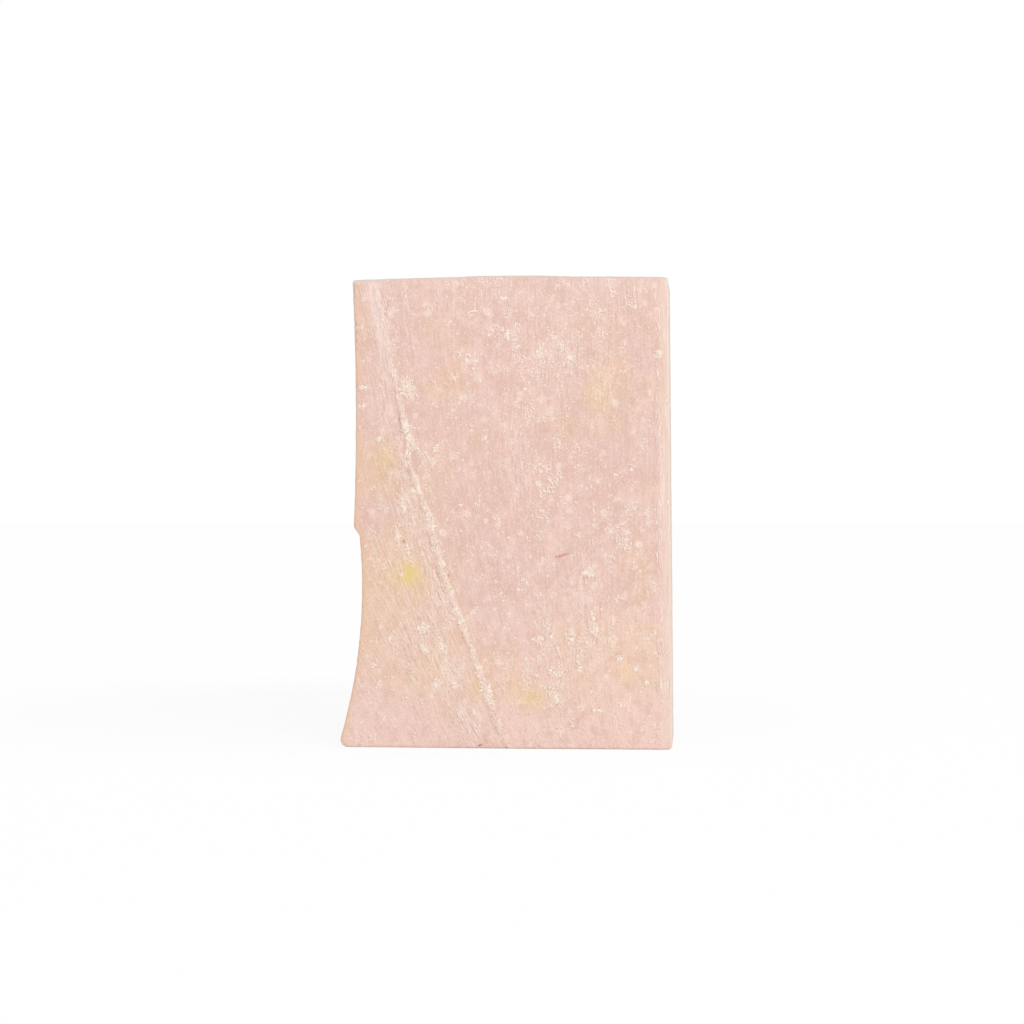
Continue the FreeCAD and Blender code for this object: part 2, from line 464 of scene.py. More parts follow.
outline = cast_outline()
edge_way = outward(outline)
round_way = np.arange(len(outline))
worn = 0.05 * rough(round_way / 9.0, round_way * 0.0, 51)
worn = worn + 0.05 * grain(round_way / 2.5, round_way * 0.0, 52)
outline = outline - edge_way * worn[:, None] * (outline[:, 1:] > 0.6)
inset = outline - edge_way * edge_radius
front = fill_ring(inset, across_cells, upward_cells)
front_y = front_depth(front[..., 0], front[..., 1])
for chip_x, chip_z, chip_radius, chip_depth in edge_chips:
    away = np.hypot(front[..., 0] - chip_x, front[..., 1] - chip_z)
    front_y += chip_depth * np.exp(-((away / chip_radius) ** 2))


def grid_ring(columns, rows):
    """Numbers of a grid's outer places, anticlockwise from its lower left."""
    number = np.arange((columns + 1) * (rows + 1)).reshape(rows + 1, columns + 1)
    return np.concatenate([number[0, :-1], number[:-1, -1], number[-1, :0:-1], number[:0:-1, 0]])


def bar_mesh():
    """The bar's vertices and faces: the front, its edges and sides ring by ring, then the back."""
    places = [np.stack([front[..., 0].ravel(), front_y.ravel(), front[..., 1].ravel()], 1)]
    first = grid_ring(across_cells, upward_cells)
    rim_y = front_y.ravel()[first]
    rings = [first]

    def add_ring(inwards, depth):
        spots = outline - edge_way * np.reshape(inwards, (-1, 1))
        rings.append(np.arange(len(outline)) + sum(len(block) for block in places))
        places.append(np.stack([spots[:, 0], depth, spots[:, 1]], 1))

    for step in range(1, edge_steps + 1):
        turn = math.pi / 2 * step / edge_steps
        add_ring(edge_radius * (1 - math.sin(turn)), rim_y + edge_radius * (1 - math.cos(turn)))
    back_start = cut_back - edge_radius
    for step in range(1, side_steps + 1):
        share = step / side_steps
        level = np.full(len(outline), share * 6)
        uneven = 0.1 * rough(round_way / 14.0, level, 61) * math.sin(math.pi * share)
        uneven *= outline[:, 1] > 0.6
        add_ring(uneven, (rim_y + edge_radius) * (1 - share) + back_start * share)
    for step in range(1, 4):
        turn = math.pi / 2 * step / 3
        depth = np.full(len(outline), back_start + edge_radius * math.sin(turn))
        add_ring(edge_radius * (1 - math.cos(turn)), depth)

    faces = []
    grid = np.arange((across_cells + 1) * (upward_cells + 1)).reshape(upward_cells + 1, across_cells + 1)
    cells = np.stack([grid[:-1, :-1], grid[:-1, 1:], grid[1:, 1:], grid[1:, :-1]], -1).reshape(-1, 4)
    faces += cells.tolist()
    for near, far in zip(rings, rings[1:]):
        band = np.stack([near, far, np.roll(far, -1), np.roll(near, -1)], 1)
        faces += band.tolist()

    # The back has half as many places each way, so its outer faces take in the ring's middle places.
    columns, rows = across_cells // 2, upward_cells // 2
    last = rings[-1]
    back = fill_ring((outline - edge_way * edge_radius)[::2], columns, rows)
    back_y = cut_back - 0.02 - 0.1 * rough(back[..., 0] / 8, back[..., 1] / 10, 71)
    back_y -= 0.05 * rough(back[..., 0] / 0.7, back[..., 1] / 8, 74)
    start = sum(len(block) for block in places)
    places.append(np.stack([back[..., 0].ravel(), back_y.ravel(), back[..., 1].ravel()], 1))
    number = start + np.arange((columns + 1) * (rows + 1))
    number[grid_ring(columns, rows)] = last[::2]
    middle_of = {}
    for k in range(0, len(last), 2):
        ends = frozenset((int(last[k]), int(last[(k + 2) % len(last)])))
        middle_of[ends] = int(last[k + 1])
    number = number.reshape(rows + 1, columns + 1)
    corners = [number[:-1, :-1], number[1:, :-1], number[1:, 1:], number[:-1, 1:]]
    cells = np.stack(corners, -1).reshape(-1, 4)
    for cell in cells.tolist():
        loop = []
        for a, b in zip(cell, cell[1:] + cell[:1]):
            loop.append(a)
            if frozenset((a, b)) in middle_of:
                loop.append(middle_of[frozenset((a, b))])
        faces.append(loop)
    return np.concatenate(places), faces


bar_places, bar_faces = bar_mesh()
used = np.zeros(len(bar_places), bool)
used[np.concatenate([np.array(face) for face in bar_faces])] = True
renumber = np.cumsum(used) - 1
bar_places = bar_places[used]
bar_faces = [[int(renumber[v]) for v in face] for face in bar_faces]


def soap_piece(name, places, faces):
    """A smooth piece of soap, from places in millimetres."""
    mesh = bpy.data.meshes.new(name)
    mesh.from_pydata((places * MM).tolist(), [], faces)
    mesh.shade_smooth()
    made = bpy.data.objects.new(name, mesh)
    bpy.context.scene.collection.objects.link(made)
    return made


soap = soap_piece("soap_bar_skin", bar_places, bar_faces)


def paint(name, values, onto=soap):
    """Stores one number for each of a piece's vertices, for its material to read."""
    layer = onto.data.attributes.new(name, "FLOAT", "POINT")
    layer.data.foreach_set("value", np.asarray(values, np.float32))


x, y, z = bar_places.T
on_front = 1 - rise(cut_front + 1.2, cut_front + 2.5, y)
paint("drag_across", drag(x, z))
paint("ridge", ridge(x, z) * on_front)
paint("cream", cream(x, z) * on_front)
# Above its crumbs the burr is only smeared: a pale band with a clean right edge.
beside_burr = x - burr_x(z)
smeared = rise(62, 72, z) * rise(0.4, 0.1, beside_burr) * rise(-2.4, -1.2, beside_burr)
paint("smeared", smeared * on_front)
paint("yellow", strongest(x, z, yellow_stains) * on_front)
paint("peach", np.where(on_front > 0, strongest(x, z, peach_clouds), 0.4))
hollow = 0 * x
for hollow_x, hollow_z, half_width, half_height, lean in red_hollows:
    hollow = np.maximum(hollow, patch(x, z, hollow_x, hollow_z, half_width, half_height, lean))
paint("red", hollow * on_front)
chip_shade = 0 * x
for mark_x, mark_z, radius in chip_shade_marks:
    chip_shade = np.maximum(chip_shade, patch(x, z, mark_x, mark_z, radius, radius))
paint("chip_shade", chip_shade * on_front)
# Painted light: where the front falls away to the left, a warm glow keeps its shade warm, as if light came
# through the soap.
slope = np.gradient(front_y, axis=1) / np.gradient(front[..., 0], axis=1)
leftward = 0 * x
leftward[: slope.size] = np.clip(-slope.ravel(), 0, 1)
paint("leftward", leftward * on_front)
left_line = outline[-upward_cells:][::-1]
left_side = np.interp(z, left_line[:, 1], left_line[:, 0])
paint("rind", np.exp(-(((x - left_side) / (0.6 + 0.9 * rough(z / 3, z * 0, 81))) ** 2)) * on_front)
right_line = outline[across_cells:][:upward_cells]
right_side = np.interp(z, right_line[:, 1], right_line[:, 0])
pared_width = 1.45 + 0.5 * (rough(z / 1.5, z * 0, 91) - 0.5)
paint("pared", rise(-0.25, 0.25, x - right_side + pared_width) * on_front)
paint("scraped", rise(-0.5, 1.0, burr_x(z) - x) * on_front)
paint("scuffed", scuffed(x, z) * on_front)
paint("drifted", np.where(on_front > 0, strongest(x, z, flake_drifts), 0.3))
top_line = outline[across_cells + upward_cells :][:across_cells][::-1]
top_side = np.interp(x, top_line[:, 0], top_line[:, 1])
# Painted shade: a grey line along the rounded edges where they turn away from the front, strongest along
# the top towards the right.
top_rim = rise(-0.42, -0.15, z - top_side) * (1 + 0.6 * rise(-2.0, 8.0, x))
left_rim = rise(-0.32, -0.1, left_side - x)
right_rim = 0.6 * rise(-0.28, -0.08, x - right_side)
foot_rim = 0.6 * rise(-0.3, -0.05, -z)
edge_only = 1 - rise(cut_front + 0.5, cut_front + 0.8, y)
# Painted light that makes the right side paler against its shade.
paint("right_side_light", rise(-0.3, -0.12, x - right_side))
paint("rim_shade", np.maximum.reduce([top_rim, left_rim, right_rim, foot_rim]) * edge_only)
# Painted light: a paler cream-grey strip along the top edge at the upper left, for the top face's front
# edge seen at a grazing angle.
top_strip = rise(-0.9, -0.5, z - top_side) * rise(-20.0, -25.0, x)
paint("top_strip", top_strip * edge_only)
# Painted shade in lines along both feet of the burr, stronger at its left
ridge_foot = np.interp(z, burr_heights, burr_half_widths) + 0.25
shade = np.exp(-(((beside_burr + ridge_foot) / 0.33) ** 2))
shade += 0.5 * np.exp(-(((beside_burr - ridge_foot) / 0.3) ** 2))
shade *= rise(0.4, 0.6, rough(z / 0.8, x / 2.0, 121))
paint("ridge_foot", shade * np.interp(z, burr_heights, burr_strengths) * on_front)


def tint(red, green, blue):
    """A colour as seen, in 255ths, as a shader's linear one."""
    seen = np.array([red, green, blue]) / 255
    linear = np.where(seen <= 0.04045, seen / 12.92, ((seen + 0.055) / 1.055) ** 2.4)
    return (*linear.tolist(), 1.0)


class Shader:
    """Adds nodes to one material and joins them, so that a material reads as a list of steps."""

    def __init__(self, name):
        self.material = bpy.data.materials.new(name)
        self.material.use_nodes = True
        self.tree = self.material.node_tree
        self.tree.nodes.clear()

    def add(self, kind, links=None, values=None, **settings):
        made = self.tree.nodes.new(kind)
        for key, value in settings.items():
            setattr(made, key, value)
        for key, value in (values or {}).items():
            made.inputs[key].default_value = value
        for key, source in (links or {}).items():
            self.tree.links.new(source, made.inputs[key])
        return made

    def painted(self, name):
        return self.add("ShaderNodeAttribute", attribute_name=name).outputs["Fac"]

    def maths(self, operation, first, second=0.0, third=None):
        made = self.add("ShaderNodeMath", operation=operation)
        for index, value in enumerate((first, second, third)):
            if value is None:
                continue
            if isinstance(value, (int, float)):
                made.inputs[index].default_value = value
            else:
                self.tree.links.new(value, made.inputs[index])
        return made.outputs[0]

    def times(self, first, second):
        return self.maths("MULTIPLY", first, second)

    def between(self, value, low, high, out_low=0.0, out_high=1.0):
        ends = {"From Min": low, "From Max": high, "To Min": out_low, "To Max": out_high}
        made = self.add("ShaderNodeMapRange", {"Value": value}, ends, interpolation_type="SMOOTHSTEP")
        return made.outputs["Result"]

    def place(self, scale_x, scale_y, scale_z, right=0.0, up=0.0):
        """The object's own coordinates, stretched, with one unit for each 1 / scale millimetres.

        right and up look at a place so many millimetres away.
        """
        own = self.add("ShaderNodeTexCoord").outputs["Object"]
        made = self.add("ShaderNodeVectorMath", {0: own}, operation="MULTIPLY_ADD")
        made.inputs[1].default_value = (scale_x / MM, scale_y / MM, scale_z / MM)
        made.inputs[2].default_value = (scale_x * right, 0.0, scale_z * up)
        return made.outputs[0]

    def noise(self, where, detail=2.0, rough_by=0.5):
        grain_size = {"Scale": 1.0, "Detail": detail, "Roughness": rough_by}
        return self.add("ShaderNodeTexNoise", {"Vector": where}, grain_size).outputs["Fac"]

    def mix(self, amount, under, over):
        made = self.add("ShaderNodeMix", data_type="RGBA")
        for socket, value in ((made.inputs[0], amount), (made.inputs[6], under), (made.inputs[7], over)):
            if isinstance(value, (int, float, tuple)):
                socket.default_value = value
            else:
                self.tree.links.new(value, socket)
        return made.outputs[2]

    def dry_skin(self, colour, roughness, specular, **links):
        """Closes the material with one skin of the colour, and gives the material."""
        feel = {"Roughness": roughness, "Specular IOR Level": specular}
        skin = self.add("ShaderNodeBsdfPrincipled", {"Base Color": colour, **links}, feel)
        self.add("ShaderNodeOutputMaterial", {"Surface": skin.outputs[0]})
        return self.material


soap_pink = tint(233, 197, 187)
soap_peach = tint(236, 200, 167)
low_light_pink = tint(254, 224, 217)
end_pink = tint(246, 218, 210)
foot_light_pink = tint(252, 222, 214)
patch_dark = tint(224, 188, 168)
streak_dark = tint(221, 184, 168)
streak_pale = tint(250, 220, 207)
grain_pale = tint(254, 232, 219)
fleck_white = tint(255, 248, 237)
crumb_cream = tint(255, 240, 223)
crumb_shade = tint(236, 190, 167)
ridge_cream = tint(250, 229, 211)
shade_brown = tint(209, 165, 146)
foot_shade = tint(213, 167, 145)
oil_yellow = tint(240, 213, 138)
rind_peach = tint(238, 200, 170)
pared_cream = tint(240, 213, 197)
hollow_red = tint(206, 138, 114)
chip_shade_brown = tint(150, 96, 74)
lit_through = tint(244, 202, 180)
side_light_cream = tint(253, 238, 226)
crumb_pink = tint(252, 229, 219)
speck_pink = tint(255, 242, 233)
rim_shade_grey = tint(222, 206, 198)
strip_cream = tint(231, 216, 200)
scuff_pink = tint(247, 222, 213)
smear_pink = tint(249, 228, 220)
rind_orange = tint(240, 190, 148)


def soap_material():
    s = Shader("soap")
    own = s.add("ShaderNodeTexCoord").outputs["Object"]
    parts = s.add("ShaderNodeSeparateXYZ", {0: own})
    scuff = s.painted("scuffed")
    scraped = s.painted("scraped")

    def along_drag(width, length):
        """Coordinates that follow the drag marks, one unit for each width across and length along them."""
        sideways = s.times(s.painted("drag_across"), 1 / width)
        made = s.add("ShaderNodeCombineXYZ", {"X": sideways})
        s.tree.links.new(s.times(parts.outputs["Z"], 1 / MM / length), made.inputs["Y"])
        s.tree.links.new(s.times(parts.outputs["Y"], 1 / MM / length), made.inputs["Z"])
        return made.outputs[0]

    def both_ways(colour, value, spread, amount, darker=streak_dark, paler=streak_pale):
        """Darkens the colour where a value lies below one half, and makes it paler where it lies above."""
        low = s.times(s.between(value, 0.5, 0.5 - spread), amount)
        high = s.times(s.between(value, 0.5, 0.5 + spread), amount)
        return s.mix(high, s.mix(low, colour, darker), paler)

    # The body: pink and peach clouds, mottled, a little paler towards the top, and with painted light that
    # makes it paler towards the foot
    clouds = s.noise(s.place(1 / 7, 1 / 7, 1 / 9), 2.0)
    peach = s.maths("MULTIPLY_ADD", s.between(clouds, 0.35, 0.65, -0.3, 0.3), 1.0, s.painted("peach"))
    colour = s.mix(s.between(peach, 0.0, 1.0), soap_pink, soap_peach)
    # Painted light: paler towards the foot, where less light reaches it
    low = s.between(parts.outputs["Z"], 40 * MM, 0 * MM)
    low = s.times(low, s.maths("MULTIPLY_ADD", scraped, -0.15, 0.6))
    colour = s.mix(low, colour, low_light_pink)
    at_foot = s.between(parts.outputs["Z"], 14 * MM, 1 * MM)
    at_top = s.between(parts.outputs["Z"], 77 * MM, 83 * MM)
    colour = s.mix(s.times(at_top, 0.25), colour, end_pink)
    colour = s.mix(s.times(at_foot, 0.55), colour, foot_light_pink)
    patches = s.noise(s.place(1 / 4.5, 1 / 4.5, 1 / 5.5), 1.0)
    colour = both_ways(colour, patches, 0.2, 0.15, patch_dark)
    mottle = s.noise(s.place(1 / 1.6, 1 / 1.6, 1 / 2.2), 2.0, 0.5)
    colour = both_ways(colour, mottle, 0.16, 0.4, patch_dark)

    # Drag streaks of the knife, stronger where it scraped
    streaks = s.noise(along_drag(0.4, 6.0), 3.0, 0.6)
    strength = s.maths("MULTIPLY_ADD", scuff, 0.65, 0.16)
    colour = both_ways(colour, streaks, 0.13, strength)
    threads = s.noise(along_drag(0.2, 14.0), 1.0, 0.5)
    colour = both_ways(colour, threads, 0.16, s.maths("MULTIPLY_ADD", scraped, -0.1, 0.18))
    combed = s.noise(along_drag(0.32, 2.5), 1.0, 0.5)
    comb = s.between(combed, 0.53, 0.59)
    comb_strength = s.maths("MULTIPLY_ADD", scraped, 0.03, s.maths("MULTIPLY_ADD", scuff, 1.0, 0.08))
    worn = s.between(s.noise(s.place(0.6, 0.6, 0.45), 2.0, 0.6), 0.4, 0.56, 0.3, 1.0)
    comb_strength = s.times(comb_strength, worn)
    comb = s.times(comb, comb_strength)
    # Painted shade in the furrows between the combed strokes
    groove_shade = s.times(s.between(combed, 0.47, 0.38), comb_strength)
    colour = s.mix(s.times(scuff, 0.35), colour, scuff_pink)
    colour = s.mix(s.times(groove_shade, 0.6), colour, shade_brown)
    colour = s.mix(comb, colour, speck_pink)

    # A fine tooth, two tenths of a millimetre
    tooth = s.noise(s.place(4.0, 4.0, 3.2), 2.0, 0.6)
    colour = both_ways(colour, tooth, 0.17, s.maths("MULTIPLY_ADD", scuff, 0.2, 0.42))

    # Everything below is bent a little, so that no grain is round
    bend = s.add("ShaderNodeTexNoise", {"Vector": s.place(1.1, 1.1, 0.9)}, {"Scale": 1.0, "Detail": 2.0})
    bent = s.add("ShaderNodeVectorMath", {0: bend.outputs["Color"], 2: own}, operation="MULTIPLY_ADD")
    bent.inputs[1].default_value = (1.6 * MM, 1.6 * MM, 1.6 * MM)
    stretched = s.add("ShaderNodeVectorMath", {0: bent.outputs[0]}, operation="MULTIPLY")
    stretched.inputs[1].default_value = (1 / 1.9 / MM, 1 / 1.9 / MM, 1 / 2.1 / MM)

    # Pale soft grains, about a millimetre across, crumbly inside
    cells = s.add("ShaderNodeTexVoronoi", {"Vector": stretched.outputs[0]}, {"Scale": 1.0}, feature="F1")
    chance = s.add("ShaderNodeSeparateColor", {0: cells.outputs["Color"]})
    size = s.maths("MULTIPLY_ADD", chance.outputs["Green"], 0.3, 0.14)
    disc = s.between(s.maths("DIVIDE", cells.outputs["Distance"], size), 1.25, 0.45)
    present = s.between(chance.outputs["Red"], 0.35, 0.42)
    paleness = s.between(chance.outputs["Blue"], 0.0, 1.0, 0.4, 1.0)
    grains = s.times(s.times(disc, present), paleness)
    crumbly = s.noise(s.place(3.0, 3.0, 2.5), 2.0, 0.65)
    grains = s.times(grains, s.between(crumbly, 0.4, 0.6, 0.4, 1.0))
    colour = s.mix(grains, colour, grain_pale)

    # White specks, crowded together in drifts on a pale veil, each with a painted shade at its lower left
    drift = s.noise(s.place(1 / 1.9, 1 / 1.9, 1 / 2.5), 3.0, 0.6)
    wide_drift = s.noise(s.place(1 / 11, 1 / 11, 1 / 13), 2.0)
    drift = s.maths("MULTIPLY_ADD", s.maths("SUBTRACT", wide_drift, 0.5), 0.3, drift)
    drift = s.maths("MULTIPLY_ADD", s.painted("drifted"), 0.12, drift)
    crowd = s.between(s.maths("MULTIPLY_ADD", scuff, 0.06, drift), 0.57, 0.72)
    lack = s.between(crowd, 0.0, 1.0, 0.66, 0.53)

    def specked(right=0.0, up=0.0):
        specks = s.noise(s.place(3.4, 3.4, 2.4, right, up), 2.0, 0.6)
        return s.between(s.maths("SUBTRACT", specks, lack), 0.0, 0.05)

    colour = s.mix(s.times(crowd, 0.12), colour, grain_pale)
    colour = s.mix(s.times(specked(0.13, 0.15), 0.65), colour, shade_brown)
    colour = s.mix(s.times(specked(), 0.8), colour, speck_pink)

    # Edges of thin flakes, curled up white in short bows, with a painted shade line at their lower left
    torn = s.between(s.maths("MULTIPLY_ADD", scuff, 0.04, drift), 0.56, 0.64)
    whole = s.noise(s.place(0.8, 0.8, 0.7), 2.0, 0.6)
    torn = s.times(torn, s.between(whole, 0.47, 0.53))

    def curled_edge(right=0.0, up=0.0):
        flakes = s.noise(s.place(1.7, 1.7, 1.4, right, up), 2.0, 0.55)
        from_edge = s.maths("ABSOLUTE", s.maths("SUBTRACT", flakes, 0.55))
        return s.times(s.between(from_edge, 0.03, 0.012), torn)

    colour = s.mix(s.times(curled_edge(0.15, 0.18), 0.65), colour, shade_brown)
    colour = s.mix(curled_edge(), colour, speck_pink)

    # Dust of soap, a quarter of a millimetre across
    bent_fine = s.add("ShaderNodeVectorMath", {0: bent.outputs[0]}, operation="MULTIPLY")
    bent_fine.inputs[1].default_value = (1.15 / MM, 1.15 / MM, 1 / MM)
    dust = s.add("ShaderNodeTexVoronoi", {"Vector": bent_fine.outputs[0]}, {"Scale": 1.0}, feature="F1")
    lot = s.add("ShaderNodeSeparateColor", {0: dust.outputs["Color"]})
    radius = s.maths("MULTIPLY_ADD", lot.outputs["Green"], 0.13, 0.1)
    bit = s.between(s.maths("DIVIDE", dust.outputs["Distance"], radius), 1.2, 0.7)
    bit = s.times(bit, s.between(lot.outputs["Red"], 0.62, 0.72))
    colour = s.mix(s.times(bit, 0.75), colour, speck_pink)

    # Stains of the oils
    stained = s.between(s.noise(s.place(1.3, 1.3, 0.8), 3.0, 0.6), 0.3, 0.6, 0.55, 1.0)
    colour = s.mix(s.times(s.painted("yellow"), stained), colour, oil_yellow)

    # The peach rind at the left, and the pared cream edge at the right
    colour = s.mix(s.times(s.painted("rind"), 0.65), colour, rind_peach)
    beads = s.times(s.painted("rind"), s.between(mottle, 0.54, 0.62))
    colour = s.mix(s.times(beads, 0.6), colour, rind_orange)
    paring = s.noise(along_drag(0.3, 7.0), 2.0, 0.6)
    pared = s.times(s.painted("pared"), s.between(paring, 0.36, 0.5, 0.35, 0.95))
    colour = s.mix(pared, colour, pared_cream)
    curled = s.times(s.painted("pared"), s.between(paring, 0.55, 0.66))
    colour = s.mix(s.times(curled, 0.7), colour, crumb_pink)

    # The burr, smeared at its top, then painted shade at its foot, crumbs and curls, broken up by a fine
    # grain, and painted shade between them
    smeared = s.times(s.painted("smeared"), s.between(streaks, 0.38, 0.58, 0.35, 0.85))
    colour = s.mix(smeared, colour, smear_pink)
    foot = s.times(s.painted("ridge_foot"), s.between(tooth, 0.4, 0.56, 0.0, 0.8))
    colour = s.mix(foot, colour, foot_shade)
    cover = s.painted("cream")
    strands = s.noise(along_drag(0.28, 1.6), 2.0, 0.6)
    broken = s.noise(s.place(2.8, 2.8, 2.3), 3.0, 0.75)
    broken = s.maths("MULTIPLY_ADD", strands, 0.3, s.times(broken, 0.7))
    crumbs = s.between(s.maths("MULTIPLY_ADD", cover, 0.3, broken), 0.68, 0.76)
    covered = s.maths("MAXIMUM", s.painted("ridge"), s.times(cover, 0.8))
    core = s.between(s.maths("MULTIPLY_ADD", s.maths("SUBTRACT", broken, 0.5), 1.6, covered), 0.26, 0.42)
    colour = s.mix(s.times(core, 0.75), colour, ridge_cream)
    colour = s.mix(crumbs, colour, crumb_cream)
    # Painted shade in dark dots between the burr's crumbs
    dots = s.noise(s.place(2.7, 2.7, 2.3), 1.5, 0.5)
    gap_shade = s.times(s.between(covered, 0.05, 0.4), s.between(dots, 0.44, 0.36))
    colour = s.mix(s.times(gap_shade, 0.7), colour, shade_brown)
    # Painted light: a warm glow on the slopes that fall away to the left
    colour = s.mix(s.between(s.painted("leftward"), 0.05, 0.6, 0.0, 0.45), colour, lit_through)

    # Reddish dark marks: red-brown spots, and painted shade in small cracks
    hollows = s.between(s.maths("MULTIPLY_ADD", s.painted("red"), 0.9, s.noise(s.place(3, 3, 3))), 0.8, 1.2)
    colour = s.mix(s.times(hollows, 0.6), colour, hollow_red)
    # Painted shade of the small chips on the foot's edge
    colour = s.mix(s.between(s.painted("chip_shade"), 0.3, 0.9, 0.0, 0.85), colour, chip_shade_brown)
    # Painted light on the top edge at the upper left
    colour = s.mix(s.times(s.painted("top_strip"), 0.7), colour, strip_cream)
    # Painted shade along the rounded edges, broken into dashes
    rim_shade_breaks = s.between(s.noise(s.place(0.9, 0.9, 0.9), 3.0, 0.6), 0.38, 0.56, 0.45, 0.95)
    colour = s.mix(s.times(s.painted("rim_shade"), rim_shade_breaks), colour, rim_shade_grey)

    # The right side lay on the mould's floor. Painted light makes it paler, so that the sliver of it that
    # shows at the edge is not dark in its shade
    colour = s.mix(s.times(s.painted("right_side_light"), 0.65), colour, side_light_cream)

    height = s.maths("MULTIPLY_ADD", streaks, 0.8, s.times(mottle, 0.4))
    height = s.maths("MULTIPLY_ADD", grains, 0.25, height)
    height = s.maths("MULTIPLY_ADD", s.times(combed, comb_strength), 1.0, height)
    height = s.maths("MULTIPLY_ADD", s.times(cover, 1.5), broken, height)
    height = s.maths("MULTIPLY_ADD", tooth, 0.35, height)
    bump = s.add("ShaderNodeBump", {"Height": height}, {"Strength": 0.9, "Distance": 0.25 * MM})
    return s.dry_skin(colour, 0.55, 0.06, Normal=bump.outputs["Normal"])


soap.data.materials.append(soap_material())
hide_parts("soap_bar")
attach(soap, "root")

# The crumbs. Bits of the same soap that the knife tore off along the burr and dropped in groups on the
# front. They are cream, dry and angular, and pressed half way into the skin, with painted shade on their
# sides that face away.

crumb_surface = BVHTree.FromPolygons(bar_places.tolist(), bar_faces)
crumb_luck = np.random.default_rng(7)


def crumb_template(splits):
    """The places and faces of one round lump, to be squashed and turned for each crumb."""
    lump = bmesh.new()
    bmesh.ops.create_icosphere(lump, subdivisions=splits, radius=1)
    spots = np.array([tuple(v.co) for v in lump.verts])
    corners = np.array([[v.index for v in f.verts] for f in lump.faces])
    lump.free()
    return spots, corners


def crumb_spots():
    """Where crumbs lie: (x, z, size) of each, along the burr, in the groups and strewn about."""
    spots = []
    for z in crumb_luck.uniform(0.8, bar_height - 0.8, 1700):
        strength = float(np.interp(z, burr_heights, burr_strengths))
        broken = rough(np.array(z / 0.9), np.array(burr_x(z) / 2.0), 111)
        if crumb_luck.random() < (strength - 0.15) * rise(0.38, 0.58, broken):
            spread = 0.85 * float(np.interp(z, burr_heights, burr_half_widths))
            spots.append((burr_x(z) + crumb_luck.normal(0, spread), z, crumb_luck.lognormal(-2.3, 0.4)))
    for x0, z0, half_width, half_height, lean in crumb_groups:
        for _ in range(int(4 + 42 * half_width * half_height)):
            side, along = crumb_luck.normal(0, 0.5, 2) * (half_width, half_height)
            x, z = leaned(x0, z0, side, along, lean)
            spots.append((x, z, min(crumb_luck.lognormal(-2.1, 0.4), 0.2)))
    for _ in range(250):
        x, z = crumb_luck.uniform(-26, 28), crumb_luck.uniform(1, 84)
        spots.append((x, z, crumb_luck.lognormal(-2.5, 0.4)))
    return spots


def crumb_mesh():
    places, faces, proud, count = [], [], [], 0
    fine = crumb_template(2)
    plain = crumb_template(1)
    for x0, z0, size in crumb_spots():
        hit = crumb_surface.ray_cast(Vector((x0, -40, z0)), Vector((0, 1, 0)))[0]
        if hit is None or hit.y > cut_front + 1.0:
            continue
        spots, corners = fine if size > 0.13 else plain
        squash = crumb_luck.uniform(0.35, 1.6, 3) * size
        turned = crumb_luck.normal(size=(3, 3))
        turned = np.linalg.qr(turned)[0]
        shape = (spots * (1 + crumb_luck.normal(0, 0.12, (len(spots), 1))) * squash) @ turned
        # How far each place faces the front; the material paints shade where this is low
        proud.append(np.clip(0.1 - shape[:, 1] / size, 0, 1))
        shape[:, 1] = hit.y + shape[:, 1] * 0.6 - 0.08 * size
        shape[:, 0] += x0
        shape[:, 2] += z0
        shape[:, 1] = np.maximum(shape[:, 1], bar_low.y + 0.01)
        places.append(shape)
        faces.append(corners + count)
        count += len(shape)
    return np.concatenate(places), np.concatenate(faces), np.concatenate(proud)


crumb_places, crumb_faces, crumb_proud = crumb_mesh()
crumbs = soap_piece("soap_crumbs", crumb_places, crumb_faces.tolist())
paint("proud", crumb_proud, crumbs)


def crumb_material():
    s = Shader("crumb")
    each = s.noise(s.place(1 / 0.5, 1 / 0.5, 1 / 0.5), 2.0, 0.6)
    colour = s.mix(s.between(each, 0.3, 0.7), crumb_cream, fleck_white)
    pinkish = s.noise(s.place(1 / 2.5, 1 / 2.5, 1 / 2.5), 1.0)
    colour = s.mix(s.between(pinkish, 0.45, 0.65, 0.0, 0.6), colour, crumb_pink)
    # Painted shade on the sides that face away from the front
    colour = s.mix(s.between(s.painted("proud"), 0.0, 0.6, 0.9, 0.0), colour, crumb_shade)
    return s.dry_skin(colour, 0.6, 0.08)


crumbs.data.materials.append(crumb_material())
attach(crumbs, "root")

# The shavings. Thin curled strips of the same soap that the blade rolled up: drawn out along the burr and
# the scuffs, hanging on the pared edge, and strewn in the drifts. They are pale, dry and partly pressed in,
# with painted shade on their sides that face away.

shaving_steps = 6
shaving_sides = 5
shaving_luck = np.random.default_rng(11)

